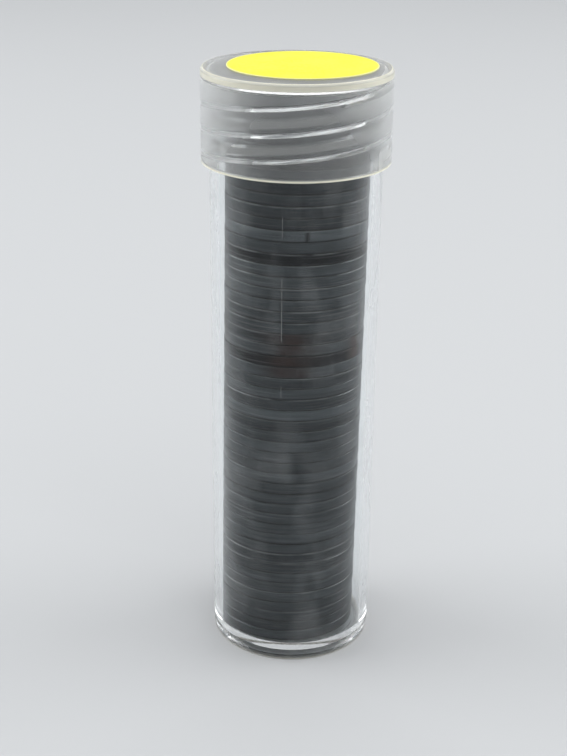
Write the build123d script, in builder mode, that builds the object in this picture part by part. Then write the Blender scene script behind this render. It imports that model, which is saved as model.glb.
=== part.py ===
from build123d import *
import math
import os

# A clear tube that holds a roll of coins under a screw cap. Millimetres, +Z up.
# The origin is at the centre of the base, where the tube stands.

# Coins
coin_diameter = 19.05
coin_thickness = 1.55
coin_count = 50
coin_rim_width = 0.9
coin_rim_height = 0.15

# Tube
bore_clearance = 0.6
tube_wall = 1.2
floor_thickness = 2.4
foot_width = 2.2
foot_recess = 0.8
foot_edge = 0.4
coin_headroom = 0.7

# Neck and screw cap
neck_height = 11.05
thread_depth = 0.55
thread_clearance = 0.2
rim_edge = 0.15
skirt_gap = 0.1
cap_wall = 0.9
cap_plate = 1.1
cap_edge = 0.4
cap_lead_in = 0.3

# Paper label on the cap
label_diameter = 19.6
label_thickness = 0.12
label_offset_x = 0.7
label_offset_y = 0.7

# How the loose roll leans in the bore, in shares of the clearance round a coin
lean_at_floor = -0.92
lean_at_top = 0.6
scatter = 0.05
scatter_turn = 137.5

# Sizes that follow from those above
coin_radius = coin_diameter / 2
bore_radius = coin_radius + bore_clearance
tube_radius = bore_radius + tube_wall
neck_radius = tube_radius - thread_depth
cap_bore = tube_radius + thread_clearance
cap_radius = cap_bore + cap_wall
rim_z = floor_thickness + coin_count * coin_thickness + coin_headroom
shoulder_z = rim_z - neck_height
skirt_z = shoulder_z + skirt_gap
cap_top_z = rim_z + cap_plate
foot_inner = tube_radius - foot_width

os.makedirs("parts", exist_ok=True)


# Tube: one turned profile, with a foot ring under the floor and a neck for the cap
with BuildPart() as tube:
    with BuildSketch(Plane.XZ):
        with BuildLine():
            Polyline(
                (0, foot_recess),
                (foot_inner, foot_recess),
                (foot_inner, 0),
                (tube_radius, 0),
                (tube_radius, shoulder_z),
                (neck_radius, shoulder_z),
                (neck_radius, rim_z),
                (bore_radius, rim_z),
                (bore_radius, floor_thickness),
                (0, floor_thickness),
                close=True,
            )
        make_face()
    revolve(axis=Axis.Z)
    rings = tube.edges().filter_by(GeomType.CIRCLE).group_by(Axis.Z)
    foot_ring = rings[0].sort_by(SortBy.RADIUS)[-1]
    rim_rings = rings[-1]
    chamfer(rim_rings, rim_edge)
    fillet(foot_ring, foot_edge)
tube.part.label = "tube"
export_step(tube.part, "parts/tube.step")


# Screw cap: a flat plate that seats on the tube's rim, with a skirt down to the shoulder
with BuildPart() as screw_cap:
    with BuildSketch(Plane.XZ):
        with BuildLine():
            Polyline(
                (0, rim_z),
                (cap_bore, rim_z),
                (cap_bore, skirt_z),
                (cap_radius, skirt_z),
                (cap_radius, cap_top_z),
                (0, cap_top_z),
                close=True,
            )
        make_face()
    revolve(axis=Axis.Z)
    rings = screw_cap.edges().filter_by(GeomType.CIRCLE).group_by(Axis.Z)
    mouth_ring = rings[0].sort_by(SortBy.RADIUS)[0]
    top_ring = rings[-1]
    chamfer(mouth_ring, cap_lead_in)
    fillet(top_ring, cap_edge)
screw_cap.part.label = "screw_cap"
export_step(screw_cap.part, "parts/screw_cap.step")


# Label: a paper disc stuck on the cap, a little off centre
with BuildPart() as cap_label:
    with BuildSketch(Plane(origin=(label_offset_x, label_offset_y, cap_top_z))):
        Circle(label_diameter / 2)
    extrude(amount=label_thickness)
cap_label.part.label = "cap_label"
export_step(cap_label.part, "parts/cap_label.step")


# Coins: each lies flat on the one below, shifted within the bore's clearance
for number in range(1, coin_count):
    height = (number - 1) / (coin_count - 1)
    lean = lean_at_floor + (lean_at_top - lean_at_floor) * height
    turn = math.radians(scatter_turn * number)
    shift_x = bore_clearance * (lean + scatter * math.cos(turn))
    shift_y = bore_clearance * scatter * math.sin(turn)
    coin_z = floor_thickness + (number - 1) * coin_thickness
    with BuildPart() as coin:
        with BuildSketch(Plane(origin=(shift_x, shift_y, coin_z))):
            Circle(coin_radius)
        extrude(amount=coin_thickness)
    coin.part.label = f"coin_{number:02d}"
    export_step(coin.part, f"parts/coin_{number:02d}.step")


# Top coin: centred under the cap, with the raised rims that show when the tube is open
top_coin_z = floor_thickness + (coin_count - 1) * coin_thickness
with BuildPart() as top_coin:
    with BuildSketch(Plane.XY.offset(top_coin_z)):
        Circle(coin_radius)
    extrude(amount=coin_thickness)
    for face in top_coin.faces().filter_by(Axis.Z):
        with BuildSketch(face):
            Circle(coin_radius - coin_rim_width)
        extrude(amount=-coin_rim_height, mode=Mode.SUBTRACT)
top_coin.part.label = f"coin_{coin_count:02d}"
export_step(top_coin.part, f"parts/coin_{coin_count:02d}.step")
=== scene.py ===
import math
import random
from collections import namedtuple

import bmesh
import bpy
from mathutils import Matrix, Vector, noise


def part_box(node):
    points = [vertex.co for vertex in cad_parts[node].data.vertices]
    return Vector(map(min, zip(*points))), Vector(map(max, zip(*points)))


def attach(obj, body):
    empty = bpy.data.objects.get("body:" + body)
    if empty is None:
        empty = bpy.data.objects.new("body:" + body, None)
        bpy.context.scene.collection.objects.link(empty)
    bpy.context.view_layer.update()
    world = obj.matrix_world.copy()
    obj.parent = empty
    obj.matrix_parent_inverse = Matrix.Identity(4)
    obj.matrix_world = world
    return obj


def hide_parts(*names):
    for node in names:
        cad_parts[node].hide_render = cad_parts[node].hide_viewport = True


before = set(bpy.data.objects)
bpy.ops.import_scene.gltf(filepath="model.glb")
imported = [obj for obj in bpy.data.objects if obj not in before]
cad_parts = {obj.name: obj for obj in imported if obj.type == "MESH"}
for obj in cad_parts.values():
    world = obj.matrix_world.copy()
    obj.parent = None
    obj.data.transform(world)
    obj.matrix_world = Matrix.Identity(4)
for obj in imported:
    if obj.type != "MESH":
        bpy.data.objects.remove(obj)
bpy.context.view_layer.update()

# A clear tube of coins under a hazy screw cap. The scene is in metres, and z runs up the tube's axis.
MM = 0.001

# How finely round shapes are cut, which edges look sharp, and what counts as one point
TURNED_SEGMENTS = 256
COIN_SEGMENTS = 144
FOOT_EDGE_STEPS = 6
CAP_EDGE_STEPS = 12
COIN_BEVEL_STEPS = 4
MOULDED_SHARP = math.radians(30)
COIN_SHARP = math.radians(40)
MERGE_DISTANCE = 1e-7
SLIVER_LENGTH = 1e-8

# Sizes read from the frame
tube_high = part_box("tube")[1]
cap_low, cap_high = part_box("screw_cap")
label_low, label_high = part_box("cap_label")
tube_radius = tube_high.x
rim_z = tube_high.z
cap_radius = cap_high.x
cap_top_z = cap_high.z
skirt_z = cap_low.z

# Sizes inside the mouldings, as in the solids
bore_radius = 10.125 * MM
neck_radius = 10.775 * MM
neck_height = 11.05 * MM
floor_thickness = 2.4 * MM
foot_inner = 9.125 * MM
foot_recess = 0.8 * MM
foot_edge = 0.4 * MM
rim_edge = 0.15 * MM
cap_bore = 11.525 * MM
cap_plate = 1.1 * MM
cap_edge = 0.4 * MM
cap_lead_in = 0.3 * MM
shoulder_z = rim_z - neck_height
plate_under = cap_top_z - cap_plate

# Hairline of air between clear faces that rest on each other, also the slack in tests of a place
air_gap = 0.02 * MM

# Scuffs on the tube: how high they reach up the foot, and how strong they are on the thread
foot_scuff_z = 0.55 * foot_edge
foot_clear_z = 1.3 * foot_edge
thread_scuff = 0.4

# A painted highlight: a faint pale line down the tube's front, which shows in three stretches
highlight_line_angle = math.radians(261.4)
highlight_line_width = math.radians(0.25)
highlight_line_share = 0.4
highlight_line_fade = 0.4 * MM
highlight_line_spans = [(40.6 * MM, 42.0 * MM), (48.6 * MM, 57.1 * MM), (62.4 * MM, 64.9 * MM)]

# The two-start thread, right-handed; a thread's z is the middle of one ridge at the front
thread_starts = 2
thread_spacing = 3.25 * MM
thread_lead = thread_starts * thread_spacing
thread_fade = 0.15 * MM
front_angle = -math.pi / 2
Thread = namedtuple("Thread", "base height z root crest low high")
cap_thread = Thread(
    base=cap_bore,
    height=-0.6 * MM,
    z=75.58 * MM,
    root=0.75 * MM,
    crest=0.08 * MM,
    low=skirt_z + 0.55 * MM,
    high=cap_top_z + 3 * MM,
)
tube_thread = Thread(
    base=neck_radius,
    height=0.45 * MM,
    z=cap_thread.z + 1.2 * MM,
    root=1.5 * MM,
    crest=0.8 * MM,
    low=shoulder_z + 2.3 * MM,
    high=rim_z - 1.3 * MM,
)

# The last part of the cap's thread, at the right, has a second tooth under the first
tooth_from = math.radians(-64)
tooth_to = math.radians(30)
tooth_growth = math.radians(8)
tooth_gap = 0.07 * MM
tooth_low_z = cap_thread.z + 0.8 * thread_spacing

# Where one start of the cap's thread shows a painted highlight, a pale patch
start_from = math.radians(-30)
start_to = math.radians(-8)
start_top_z = skirt_z + 2.4 * MM
start_highlight = 1.0

# The bead in the corner under the plate: smooth, and from the left to past the front a little white, which
# is a painted highlight
bead_depth = 0.38 * MM
bead_rise = 0.22 * MM
bead_margin = 0.05 * MM
bead_end = math.radians(-70)
bead_highlight = 0.25
bead_inner = cap_bore - bead_depth
bead_reach = 1.5 * bead_depth
bead_foot_z = plate_under - bead_rise

# White edges of the cap: a line along the skirt, and bands round the top edge that end at these slopes; the
# white line at the top of the rounding is a painted highlight
skirt_line = 0.2 * MM
skirt_fade = 0.26 * MM
skirt_milk = 0.8
plate_band_z = plate_under + 0.2 * MM
plate_band_fade = 0.05 * MM
edge_clear_slope = math.radians(86)
edge_white_slope = math.radians(72)
edge_round_slope = math.radians(10)
edge_highlight = 1.0
edge_round_milk = 0.5
edge_side_milk = 0.7

# The cap's ridges are clear at the front and white at the sides, by the cosine of the angle; the white is a
# painted highlight
white_from_left = 0.45
white_from_right = 0.7
white_growth = 0.2
white_steepness = 3

# Haze of the cap: inside it grows with height and towards the left and right sides, where it paints the
# sides lighter, but leaves the ridges smooth;
# on the top it is a ring round the label
haze_low = 0.3
front_haze = 0.3
painted_side_haze = 0.8
plate_haze = 0.3
plate_rough = 0.6
smooth_steepness = 4
ring_from = cap_bore - 0.8 * MM
ring_full = cap_bore - 0.3 * MM
ring_rough = 0.25
ring_growth = 0.35

# Coins
top_coin = "coin_50"
coin_rim_width = 0.9 * MM
coin_rim_slope = 0.2 * MM
coin_field_depth = 0.15 * MM
coin_bevel_least = 0.05 * MM
coin_bevel_most = 0.2 * MM
coin_side_row = 0.3 * MM
coin_wear_width = 0.2 * MM
# Painted shade where the coins meet: how far it reaches, darkest at each coin's lower edge and narrower at
# its upper edge
coin_seam_shade_least = 0.08 * MM
coin_seam_shade_most = 0.2 * MM
seam_shade_start = 1.4
upper_seam_shade_narrower = 4
coin_nick = 0.3
nick_size = 3.0
tone_least = 0.3
tone_most = 0.65
polish_least = 0.15
polish_most = 1.2
dark_coins = (28, 37, 45)
dark_tone = 0.0
pale_coins = (23, 39)
pale_tone = 0.9
dull_coins = range(10, 24)
dull_share = 0.4
Spot = namedtuple("Spot", "first last angle spread strength")
rust_spots = (
    Spot(27, 30, math.radians(-93), math.radians(18), 0.9),
    Spot(28, 29, math.radians(-36), math.radians(8), 1.0),
    Spot(29, 30, math.radians(-165), math.radians(12), 0.6),
    Spot(2, 14, math.radians(-170), math.radians(12), 0.5),
)
grime_spots = (Spot(39, 39, math.radians(-82.5), math.radians(1.2), 0.9),)

# Label
paper_edge = 0.04 * MM
pale_edge_width = 0.25 * MM


# Mesh helpers


def clamped(share):
    return max(0.0, min(1.0, share))


def polar(point):
    """Distance from the tube's axis, and the angle round it."""
    return math.hypot(point.x, point.y), math.atan2(point.y, point.x)


def arc(centre, radius, start, end, steps):
    """Points of a profile's rounded corner, as (r, z) pairs; angles in degrees."""
    points = []
    for i in range(steps + 1):
        angle = math.radians(start + (end - start) * i / steps)
        points.append((centre[0] + radius * math.cos(angle), centre[1] + radius * math.sin(angle)))
    return points


def on_circle(angle, r, z):
    return Vector((r * math.cos(angle), r * math.sin(angle), z))


def angles(segments):
    return [2 * math.pi * i / segments for i in range(segments + 1)]


round_angles = angles(TURNED_SEGMENTS)
tube_angles = sorted(round_angles + [highlight_line_angle - highlight_line_width, highlight_line_angle, highlight_line_angle + highlight_line_width])


def turned(profile, places=round_angles):
    """A turned surface, as one column of points for each angle."""
    return [[on_circle(angle, r, z) for r, z in profile] for angle in places]


def shifted(columns, middle):
    """Columns moved from the tube's axis to a piece's own."""
    for point in (point for column in columns for point in column):
        point.x += middle.x
        point.y += middle.y
    return columns


def rise_at(angle):
    """How far a thread climbs from the front to an angle."""
    return thread_lead * (angle - front_angle) / (2 * math.pi)


def above_ridge(thread, angle, z):
    """How far a place on a thread's wall is above the middle of the nearest ridge."""
    turns = (z - thread.z - rise_at(angle)) / thread_spacing
    return (turns - round(turns)) * thread_spacing


def ridge(thread, angle, z):
    """Share of a thread's height at a place on its wall: flanks, crest and both ends."""
    off_middle = above_ridge(thread, angle, z)
    middle = z - off_middle
    flank = (thread.root / 2 - abs(off_middle)) / ((thread.root - thread.crest) / 2)
    begins = (middle - thread.low) / thread_fade
    ends = (thread.high - middle) / thread_fade
    share = clamped(flank) * clamped(begins) * clamped(ends)
    return max(share, second_tooth(angle, z)) if thread is cap_thread else share


def second_tooth(angle, z):
    """Share of the lower tooth that widens the last part of the cap's thread."""
    turn = math.remainder(angle, 2 * math.pi)
    if z < tooth_low_z or not tooth_from < turn < tooth_to:
        return 0.0
    below = -above_ridge(cap_thread, angle, z) - cap_thread.root / 2
    lower_flank = 1 - (below - tooth_gap) / ((cap_thread.root - cap_thread.crest) / 2)
    grown = min(1.0, (turn - tooth_from) / tooth_growth)
    return grown * clamped(min(below / tooth_gap, lower_flank))


def threaded(thread, z_from, z_to, places=round_angles):
    """A threaded wall whose rows of points follow the thread, cut off level at both ends."""
    half = thread_spacing / 2
    crest = thread.crest / 2
    root = thread.root / 2
    flank = [root, (2 * root + crest) / 3, (root + 2 * crest) / 3, crest]
    between = [(half + root) / 2, 2 * root - crest + tooth_gap, root + tooth_gap]
    rows = [-half] + [-step for step in between + flank] + [0] + flank[::-1] + between[::-1]
    first = math.floor((z_from - thread.z) / thread_spacing) - 2 * thread_starts
    last = math.ceil((z_to - thread.z) / thread_spacing) + 2 * thread_starts
    middles = [thread.z + n * thread_spacing for n in range(first, last + 1)]
    columns = []
    for angle in places:
        rise = rise_at(angle)
        heights = [min(max(middle + rise + row, z_from), z_to) for middle in middles for row in rows]
        radii = [thread.base + thread.height * ridge(thread, angle, z) for z in heights]
        columns.append([on_circle(angle, r, z) for r, z in zip(radii, heights)])
    return columns


def piece(name, bands, material, sharp=MOULDED_SHARP):
    """One closed mesh from bands of columns that share their ends."""
    shape = bmesh.new()
    for columns in bands:
        rows = [[shape.verts.new(p) for p in column] for column in columns]
        for left, right in zip(rows, rows[1:]):
            for j in range(len(left) - 1):
                shape.faces.new((left[j], right[j], right[j + 1], left[j + 1]))
    bmesh.ops.remove_doubles(shape, verts=shape.verts, dist=MERGE_DISTANCE)
    bmesh.ops.dissolve_degenerate(shape, edges=shape.edges, dist=SLIVER_LENGTH)
    bmesh.ops.recalc_face_normals(shape, faces=shape.faces)
    mesh = bpy.data.meshes.new(name)
    shape.to_mesh(mesh)
    shape.free()
    mesh.shade_smooth()
    mesh.set_sharp_from_angle(angle=sharp)
    obj = bpy.data.objects.new(name, mesh)
    bpy.context.scene.collection.objects.link(obj)
    mesh.materials.append(material)
    return obj


def mark(obj, name, share):
    """Stores a share from 0 to 1 at each point of a piece, for its material."""
    values = [clamped(share(vertex.co)) for vertex in obj.data.vertices]
    obj.data.attributes.new(name, "FLOAT", "POINT").data.foreach_set("value", values)


# Material helpers

# Sockets of the Mix node when it mixes colours
MIX_SHARE = 0
MIX_FIRST = 6
MIX_SECOND = 7
MIX_RESULT = 2

# Ranges that many materials map from or to: all shares, and the part of a noise that holds most of it
WHOLE = (0.0, 1.0)
MOST = (0.35, 0.65)


def new_material(name):
    material = bpy.data.materials.new(name)
    material.use_nodes = True
    return material, material.node_tree.nodes["Principled BSDF"]


def add_node(material, kind, values, **settings):
    made = material.node_tree.nodes.new(kind)
    for name, value in settings.items():
        setattr(made, name, value)
    for name, value in values.items():
        made.inputs[name].default_value = value
    return made


def join(material, source, target):
    material.node_tree.links.new(source, target)


def marked(material, name):
    """The share that mark stored."""
    return add_node(material, "ShaderNodeAttribute", {}, attribute_name=name).outputs["Fac"]


def grain(material, scale, detail, stretch=(1, 1, 1)):
    """Noise in the piece's own metres: a scale of 1000 has features about 1 mm across."""
    place = add_node(material, "ShaderNodeTexCoord", {}).outputs["Object"]
    mapping = add_node(material, "ShaderNodeMapping", {"Scale": stretch})
    texture = add_node(material, "ShaderNodeTexNoise", {"Scale": scale, "Detail": detail})
    join(material, place, mapping.inputs["Vector"])
    join(material, mapping.outputs["Vector"], texture.inputs["Vector"])
    return texture.outputs["Fac"]


def ranged(material, source, from_range, to_range):
    values = {"From Min": from_range[0], "From Max": from_range[1]}
    values.update({"To Min": to_range[0], "To Max": to_range[1]})
    made = add_node(material, "ShaderNodeMapRange", values)
    join(material, source, made.inputs["Value"])
    return made.outputs["Result"]


def combined(material, operation, first, second):
    made = add_node(material, "ShaderNodeMath", {}, operation=operation, use_clamp=True)
    join(material, first, made.inputs[0])
    join(material, second, made.inputs[1])
    return made.outputs["Value"]


def mixed(material, share, first, second):
    """A colour between two, each a colour or another mix."""
    made = add_node(material, "ShaderNodeMix", {}, data_type="RGBA")
    join(material, share, made.inputs[MIX_SHARE])
    for socket, colour in ((made.inputs[MIX_FIRST], first), (made.inputs[MIX_SECOND], second)):
        if isinstance(colour, tuple):
            socket.default_value = colour
        else:
            join(material, colour, socket)
    return made.outputs[MIX_RESULT]


def bumped(material, shader, height, strength, distance):
    made = add_node(material, "ShaderNodeBump", {"Strength": strength, "Distance": distance})
    join(material, height, made.inputs["Height"])
    join(material, made.outputs["Normal"], shader.inputs["Normal"])


# Materials

plastic_ior = 1.5

# Clear tube: from clear to worn; the worn end also paints the highlight line down the front
tube_mirror = (0.35, 0.35, 0.35, 1)
tube_clear = (0.96, 0.98, 0.985, 1)
tube_worn_and_highlight = (0.95, 0.91, 0.82, 1)
tube_haze = (0.0, 0.08)
tube_roughness = (0.02, 0.3)
tube_transmission = (1.0, 0.1)

# Hazy cap: from clear to milky; the milky end also paints highlights and lighter sides
cap_mirror = (0.4, 0.4, 0.4, 1)
cap_white = (0.96, 0.97, 0.97, 1)
cap_beige = (0.96, 0.92, 0.72, 1)
cap_cloud = (0.0, 0.05)
cap_roughness = (0.05, 0.28)
cap_transmission = (0.95, 0.05)

# Paper label, paler at its cut edge
paper_gloss = 0.2
paper_deep = (0.88, 0.82, 0.05, 1)
paper_light = (0.90, 0.87, 0.08, 1)
paper_cut = (0.90, 0.88, 0.45, 1)
paper_roughness = (0.55, 0.7)

# Steel coins, with rust, grime, and painted shade where they meet
steel_metallic = 0.85
steel_dark = (0.002, 0.003, 0.005, 1)
steel_pale = (0.105, 0.118, 0.126, 1)
steel_worn = (0.30, 0.31, 0.31, 1)
steel_roughness = (0.3, 0.5)
rust_brown = (0.038, 0.018, 0.013, 1)
shade_and_grime_black = (0.003, 0.003, 0.003, 1)
streak_share = (0.65, 1.0)
wear_share = (0.1, 1.0)
rust_share = (0.5, 1.0)
scratch_share = (0.0, 0.2)


def clear_plastic():
    material, shader = new_material("clear_tube")
    shader.inputs["IOR"].default_value = plastic_ior
    shader.inputs["Specular Tint"].default_value = tube_mirror
    # The scuffs mark holds real scuffs and the painted highlight line down the front
    scuffs_and_highlight = marked(material, "scuffs_and_highlight")
    haze_grain = grain(material, scale=260, detail=5, stretch=(1, 1, 0.5))
    haze = ranged(material, haze_grain, (0.5, 0.8), tube_haze)
    worn = combined(material, "MAXIMUM", scuffs_and_highlight, haze)
    tint = mixed(material, scuffs_and_highlight, tube_clear, tube_worn_and_highlight)
    join(material, tint, shader.inputs["Base Color"])
    join(material, ranged(material, worn, WHOLE, tube_roughness), shader.inputs["Roughness"])
    join(material, ranged(material, worn, WHOLE, tube_transmission), shader.inputs["Transmission Weight"])
    ripple = grain(material, scale=420, detail=2)
    bumped(material, shader, ripple, strength=0.015, distance=0.05 * MM)
    return material


def hazy_plastic():
    material, shader = new_material("hazy_cap")
    shader.inputs["IOR"].default_value = plastic_ior
    shader.inputs["Specular Tint"].default_value = cap_mirror
    cloud_grain = grain(material, scale=170, detail=4, stretch=(1, 1, 2.5))
    cloud = ranged(material, cloud_grain, (0.35, 0.75), cap_cloud)
    haze = combined(material, "ADD", cloud, marked(material, "haze"))
    # Milk holds painted highlights, and haze holds painted lighter sides as well as cloudiness
    milky = combined(material, "ADD", marked(material, "milk"), haze)
    rough = ranged(material, marked(material, "rough"), WHOLE, cap_roughness)
    tint = mixed(material, marked(material, "beige"), cap_white, cap_beige)
    join(material, tint, shader.inputs["Base Color"])
    join(material, rough, shader.inputs["Roughness"])
    join(material, ranged(material, milky, WHOLE, cap_transmission), shader.inputs["Transmission Weight"])
    ripple = grain(material, scale=700, detail=3)
    bumped(material, shader, ripple, strength=0.04, distance=0.03 * MM)
    return material


def paper():
    material, shader = new_material("yellow_paper")
    shader.inputs["Specular IOR Level"].default_value = paper_gloss
    blotch = ranged(material, grain(material, scale=260, detail=4), MOST, WHOLE)
    colour = mixed(material, blotch, paper_deep, paper_light)
    colour = mixed(material, marked(material, "cut_edge"), colour, paper_cut)
    join(material, colour, shader.inputs["Base Color"])
    fibre = grain(material, scale=2600, detail=4, stretch=(1, 0.4, 1))
    join(material, ranged(material, fibre, (0.3, 0.7), paper_roughness), shader.inputs["Roughness"])
    bumped(material, shader, fibre, strength=0.25, distance=0.02 * MM)
    return material


def steel():
    material, shader = new_material("worn_steel")
    shader.inputs["Metallic"].default_value = steel_metallic
    streak = ranged(material, grain(material, scale=110, detail=4, stretch=(1, 1, 12)), MOST, WHOLE)
    blotch = ranged(material, grain(material, scale=330, detail=4), MOST, WHOLE)
    scratch_grain = grain(material, scale=90, detail=3, stretch=(1, 1, 70))
    scratch = ranged(material, scratch_grain, (0.56, 0.72), scratch_share)

    def uneven(name, source, share):
        return combined(material, "MULTIPLY", marked(material, name), ranged(material, source, WHOLE, share))

    worn = combined(material, "MAXIMUM", uneven("wear", blotch, wear_share), scratch)
    colour = mixed(material, uneven("tone", streak, streak_share), steel_dark, steel_pale)
    colour = mixed(material, worn, colour, steel_worn)
    colour = mixed(material, uneven("rust", blotch, rust_share), colour, rust_brown)
    # Black at the seams between coins is painted shade, and at the one spot it is grime
    colour = mixed(material, marked(material, "seam_shade_and_grime"), colour, shade_and_grime_black)
    join(material, colour, shader.inputs["Base Color"])
    join(material, ranged(material, blotch, WHOLE, steel_roughness), shader.inputs["Roughness"])
    bumped(material, shader, streak, strength=0.12, distance=0.02 * MM)
    return material


tube_material = clear_plastic()
cap_material = hazy_plastic()
label_material = paper()
coin_material = steel()


# Tube


def tube_scuffs_and_highlight(point):
    """Worn along the foot and on the crest of the thread, and a painted highlight line down the front."""
    r, angle = polar(point)
    if point.z < foot_scuff_z and r > foot_inner + air_gap:
        return 1.0
    if point.z > shoulder_z + air_gap and r > neck_radius + air_gap:
        return thread_scuff * (r - neck_radius) / tube_thread.height
    off_highlight_line = math.remainder(angle - highlight_line_angle, 2 * math.pi)
    if r > tube_radius - air_gap and abs(off_highlight_line) < highlight_line_width / 2:
        if any(start - air_gap < point.z < end + air_gap for start, end in highlight_line_spans):
            return highlight_line_share
    return 0.0


def make_tube():
    rim = rim_z - air_gap
    floor = floor_thickness - air_gap
    below = [(0, foot_recess), (foot_inner, foot_recess), (foot_inner, 0)]
    below += arc((tube_radius - foot_edge, foot_edge), foot_edge, -90, 0, FOOT_EDGE_STEPS)
    below += [(tube_radius, foot_clear_z)]
    # Rows where the painted highlight line down the front starts and ends
    for start, end in highlight_line_spans:
        below += [(tube_radius, z) for z in (start - highlight_line_fade, start, end, end + highlight_line_fade)]
    below += [(tube_radius, shoulder_z), (neck_radius, shoulder_z)]
    neck = threaded(tube_thread, shoulder_z, rim - rim_edge, tube_angles)
    above = [(neck_radius, rim - rim_edge), (neck_radius - rim_edge, rim)]
    above += [(bore_radius + rim_edge, rim), (bore_radius, rim - rim_edge)]
    above += [(bore_radius, floor), (0, floor)]
    bands = [turned(below, tube_angles), neck, turned(above, tube_angles)]
    obj = piece("clear_tube", bands, tube_material)
    mark(obj, "scuffs_and_highlight", tube_scuffs_and_highlight)
    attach(obj, "tube")
    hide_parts("tube")


# Screw cap


def on_bead(point):
    """Whether a point is on the sloping bead in the corner under the plate."""
    beside_wall = cap_bore - bead_reach < polar(point)[0] < cap_bore + air_gap
    return beside_wall and bead_foot_z - air_gap < point.z < plate_under + air_gap


def ridge_depth(r):
    """How far out of the bore's wall a point is, as a share of a ridge's height."""
    return (cap_bore - r) / -cap_thread.height


def height_in_cap(z):
    return (z - skirt_z) / (plate_under - skirt_z)


def ridge_highlight(r, angle):
    """Painted highlight: white at the cap's sides, clear at the front."""
    across = math.cos(angle)
    white_from = white_from_left if across < 0 else white_from_right
    side = clamped((abs(across) - white_from) / white_growth)
    return side * min(1.0, white_steepness * ridge_depth(r))


def edge_milk_and_highlight(r, z):
    """A white line on the rounding of the top edge, which is a painted highlight, with paler bands down to
    the plate's underside.
    """
    slope = math.atan2(z - cap_top_z + cap_edge, r - cap_radius + cap_edge)
    if slope > edge_clear_slope:
        return 0.0
    if slope > edge_white_slope:
        return edge_highlight
    return edge_round_milk if slope > edge_round_slope else edge_side_milk


def cap_milk_and_highlight(point):
    """How white the plastic is: on its edges, the ridges, the bead and the start of the thread; the line on
    the top edge, the ridges, the bead and the thread's start are painted highlights.
    """
    r, angle = polar(point)
    if point.z < skirt_z + skirt_line + air_gap:
        return skirt_milk
    if r < cap_bore + air_gap and point.z < start_top_z and start_from < angle < start_to:
        return start_highlight
    if on_bead(point):
        return bead_highlight if angle < bead_end else 0.0
    if r < cap_bore - air_gap and point.z < bead_foot_z - air_gap:
        return ridge_highlight(r, angle)
    if r < cap_radius - cap_edge or point.z < plate_band_z - air_gap:
        return 0.0
    return edge_milk_and_highlight(r, point.z)


def cap_outer_milk_and_highlight(point):
    """The milk and painted highlights outside the bore, which are beige."""
    return cap_milk_and_highlight(point) if polar(point)[0] > cap_bore + air_gap else 0.0


def cap_rough(point):
    """How rough the plastic is: in the ring on its top, and inside apart from ridges and smooth bead."""
    r, angle = polar(point)
    if point.z > cap_top_z - air_gap and r > ring_from + air_gap:
        return ring_rough * clamped(1 + math.sin(angle) / ring_growth)
    if point.z > plate_under + air_gap or r > cap_bore + air_gap:
        return 0.0
    if point.z > bead_foot_z - air_gap:
        return 0.0 if angle < bead_end and on_bead(point) else plate_rough
    rough = haze_low + (1 - haze_low) * height_in_cap(point.z)
    return rough * (1.0 - smooth_steepness * ridge_depth(r))


def cap_haze(point):
    """How cloudy the rough parts are: most at the left and right sides, which is painted light that makes
    the sides lighter.
    """
    if point.z > bead_foot_z - air_gap:
        return plate_haze * cap_rough(point)
    front = front_haze * height_in_cap(point.z) ** 2
    painted_side_light = painted_side_haze * math.cos(polar(point)[1]) ** 2
    return (front + painted_side_light) * cap_rough(point)


def cap_outside():
    """Profile from the middle of the cap's top down to the mouth of its bore."""
    profile = [(0, cap_top_z), (ring_from, cap_top_z), (ring_full, cap_top_z)]
    profile += [(cap_radius - 2 * cap_edge, cap_top_z)]
    profile += arc((cap_radius - cap_edge, cap_top_z - cap_edge), cap_edge, 90, 0, CAP_EDGE_STEPS)
    profile += [(cap_radius, plate_band_z), (cap_radius, plate_band_z - plate_band_fade)]
    profile += [(cap_radius, skirt_z + height) for height in (skirt_fade, skirt_line, 0)]
    profile += [(cap_bore + cap_lead_in, skirt_z), (cap_bore, skirt_z + cap_lead_in)]
    return profile


def cap_underside(wall):
    """Columns from the top of the threaded wall, over the bead, to the middle of the plate."""
    columns = []
    for angle, column in zip(round_angles, wall):
        bead_foot = column[-1] + Vector((0, 0, bead_margin))
        bead_top = on_circle(angle, bead_inner, plate_under)
        beside_bead = on_circle(angle, bead_inner - bead_depth, plate_under)
        columns.append([column[-1], bead_foot, bead_top, beside_bead, Vector((0, 0, plate_under))])
    return columns


def make_cap():
    wall = threaded(cap_thread, skirt_z + cap_lead_in, bead_foot_z - bead_margin)
    bands = [turned(cap_outside()), wall, cap_underside(wall)]
    obj = piece("hazy_cap", bands, cap_material)
    mark(obj, "milk", cap_milk_and_highlight)
    mark(obj, "beige", cap_outer_milk_and_highlight)
    mark(obj, "rough", cap_rough)
    mark(obj, "haze", cap_haze)
    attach(obj, "cap")
    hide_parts("screw_cap")


# Coins, with worn rims, no two quite alike


def spotted(spots, number, angle):
    """How strong the spots are at one angle of a coin's side."""
    strength = 0.0
    for spot in spots:
        if spot.first <= number <= spot.last:
            off = math.remainder(angle - spot.angle, 2 * math.pi) / spot.spread
            strength = max(strength, spot.strength * math.exp(-off * off))
    return strength


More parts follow.
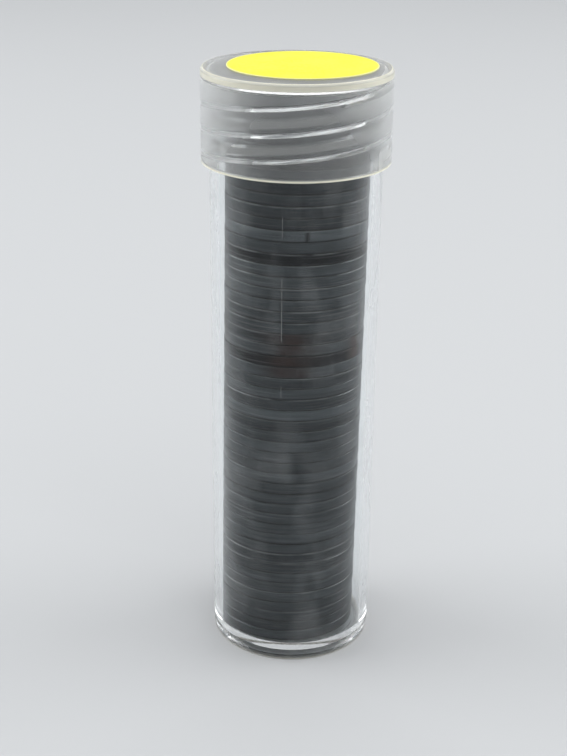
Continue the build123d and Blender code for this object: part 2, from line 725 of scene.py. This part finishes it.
def coin_columns(number, low, high, radius, lower, upper):
    """Columns of one coin round its own axis, its bevels uneven with wear."""
    rim_inner = radius - coin_rim_width
    field = rim_inner - coin_rim_slope
    field_low = low + coin_field_depth
    field_high = high - coin_field_depth
    columns = []
    for angle in angles(COIN_SEGMENTS):
        place = Vector((math.cos(angle), math.sin(angle), number)) * nick_size
        under = lower * (1 + coin_nick * noise.noise(place))
        over = upper * (1 + coin_nick * noise.noise(-place))
        profile = [(0, field_low), (field, field_low), (rim_inner, low)]
        profile += arc((radius - under, low + under), under, -90, 0, COIN_BEVEL_STEPS)
        profile += [(radius, low + coin_side_row), (radius, high - coin_side_row)]
        profile += arc((radius - over, high - over), over, 0, 90, COIN_BEVEL_STEPS)
        profile += [(rim_inner, high), (field, field_high), (0, field_high)]
        columns.append([on_circle(angle, r, z) for r, z in profile])
    return columns


def make_coin(node):
    number = int(node.split("_")[1])
    low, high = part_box(node)
    middle = (low + high) / 2
    radius = (high.x - low.x) / 2
    chance = random.Random(number)
    lower = chance.uniform(coin_bevel_least, coin_bevel_most)
    upper = chance.uniform(coin_bevel_least, coin_bevel_most)
    tone = chance.uniform(tone_least, tone_most)
    polish = chance.uniform(polish_least, polish_most)
    seam_shade_and_grime = chance.uniform(coin_seam_shade_least, coin_seam_shade_most)
    if number in dull_coins:
        polish *= dull_share
    if number in dark_coins:
        tone = dark_tone
    if number in pale_coins:
        tone = pale_tone
    columns = shifted(coin_columns(number, low.z, high.z, radius, lower, upper), middle)
    obj = piece("worn_" + node, [columns], coin_material, COIN_SHARP)

    def from_edge(point):
        return min(point.z - low.z, high.z - point.z)

    def spots_at(spots, point):
        return spotted(spots, number, polar(point - middle)[1])

    # Painted shade along the seams between coins, most at each coin's lower edge; away from the seams only
    # the spot of grime
    def seam_shade_and_grime_at(point):
        if from_edge(point) > coin_side_row - air_gap:
            return spots_at(grime_spots, point)
        return seam_shade_start - min(point.z - low.z, upper_seam_shade_narrower * (high.z - point.z)) / seam_shade_and_grime

    mark(obj, "tone", lambda point: tone)
    mark(obj, "wear", lambda point: polish * (1 - from_edge(point) / coin_wear_width))
    mark(obj, "seam_shade_and_grime", seam_shade_and_grime_at)
    mark(obj, "rust", lambda point: spots_at(rust_spots, point))
    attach(obj, "top_coin" if node == top_coin else "tube")
    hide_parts(node)


# Label


def make_label():
    middle = (label_low + label_high) / 2
    radius = (label_high.x - label_low.x) / 2
    under = label_low.z - air_gap / 2
    pale_from = radius - pale_edge_width
    profile = [(0, under), (radius, under), (radius, label_high.z - paper_edge)]
    profile += [(radius - paper_edge, label_high.z), (pale_from, label_high.z)]
    profile += [(radius - 2 * pale_edge_width, label_high.z), (0, label_high.z)]
    columns = shifted(turned(profile), middle)
    obj = piece("paper_label", [columns], label_material)
    mark(obj, "cut_edge", lambda point: (polar(point - middle)[0] - pale_from) / pale_edge_width)
    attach(obj, "cap")
    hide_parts("cap_label")


make_tube()
make_cap()
make_label()
for node in sorted(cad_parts):
    if node.startswith("coin_"):
        make_coin(node)


# Stage, light and camera, in metres and watts

floor_half = 3.0
floor_grey = (0.56, 0.57, 0.58, 1)
floor_roughness = 0.7
sky_colour = (0.9, 0.95, 1.0, 1)
sky_strength = 0.25

Light = namedtuple("Light", "name place target size watts")
light_target = (0, 0, 0.05)
lights = (
    Light("overhead", (0.1, 0.25, 0.95), (0.1, 0.25, 0), 2.0, 11.5),
    Light("back", (0, 1.7, 0.5), light_target, 1.8, 2.8),
    Light("left", (-0.8, 0.1, 0.3), light_target, 0.8, 4.8),
    Light("right", (0.8, 0.1, 0.3), light_target, 0.8, 3.8),
    Light("fill", (0.25, -0.6, 0.45), light_target, 0.8, 1.2),
)

# The camera as it was fitted to the photo; its lens and sensor are in millimetres
camera_place = Vector((-1.38, -181.5, 114.46)) * MM
camera_pitch = math.radians(22.666)
camera_roll = math.radians(0.544)
camera_lens = 67.41
camera_sensor = 36
camera_near = 0.001


def make_floor():
    corners = [(-1, -1), (1, -1), (1, 1), (-1, 1)]
    mesh = bpy.data.meshes.new("floor")
    mesh.from_pydata([(floor_half * x, floor_half * y, -air_gap) for x, y in corners], [], [(0, 1, 2, 3)])
    floor = bpy.data.objects.new("floor", mesh)
    bpy.context.scene.collection.objects.link(floor)
    material, shader = new_material("pale_floor")
    shader.inputs["Base Color"].default_value = floor_grey
    shader.inputs["Roughness"].default_value = floor_roughness
    mesh.materials.append(material)


def make_light(light):
    """A soft round light that faces its target."""
    data = bpy.data.lights.new(light.name, "AREA")
    data.shape = "DISK"
    data.size = light.size
    data.energy = light.watts
    facing = Vector(light.target) - Vector(light.place)
    obj = bpy.data.objects.new(light.name, data)
    obj.location = light.place
    obj.rotation_euler = facing.to_track_quat("-Z", "Y").to_euler()
    bpy.context.scene.collection.objects.link(obj)


def make_world():
    world = bpy.data.worlds.new("studio")
    world.use_nodes = True
    background = world.node_tree.nodes["Background"]
    background.inputs["Color"].default_value = sky_colour
    background.inputs["Strength"].default_value = sky_strength
    bpy.context.scene.world = world


def make_camera():
    data = bpy.data.cameras.new("camera")
    data.sensor_width = camera_sensor
    data.lens = camera_lens
    data.clip_start = camera_near
    forward = Vector((0, math.cos(camera_pitch), -math.sin(camera_pitch)))
    right = Vector((1, 0, 0))
    up = right.cross(forward)
    turn = Matrix((right, up, -forward)).transposed() @ Matrix.Rotation(camera_roll, 3, "Z")
    camera = bpy.data.objects.new("camera", data)
    camera.matrix_world = Matrix.Translation(camera_place) @ turn.to_4x4()
    bpy.context.scene.collection.objects.link(camera)
    bpy.context.scene.camera = camera


make_floor()
for light in lights:
    make_light(light)
make_world()
make_camera()
bpy.context.scene.view_settings.view_transform = "Standard"

# Light is passed on many times inside the walls of clear plastic
bpy.context.scene.cycles.max_bounces = 24
bpy.context.scene.cycles.glossy_bounces = 16
bpy.context.scene.cycles.transmission_bounces = 20
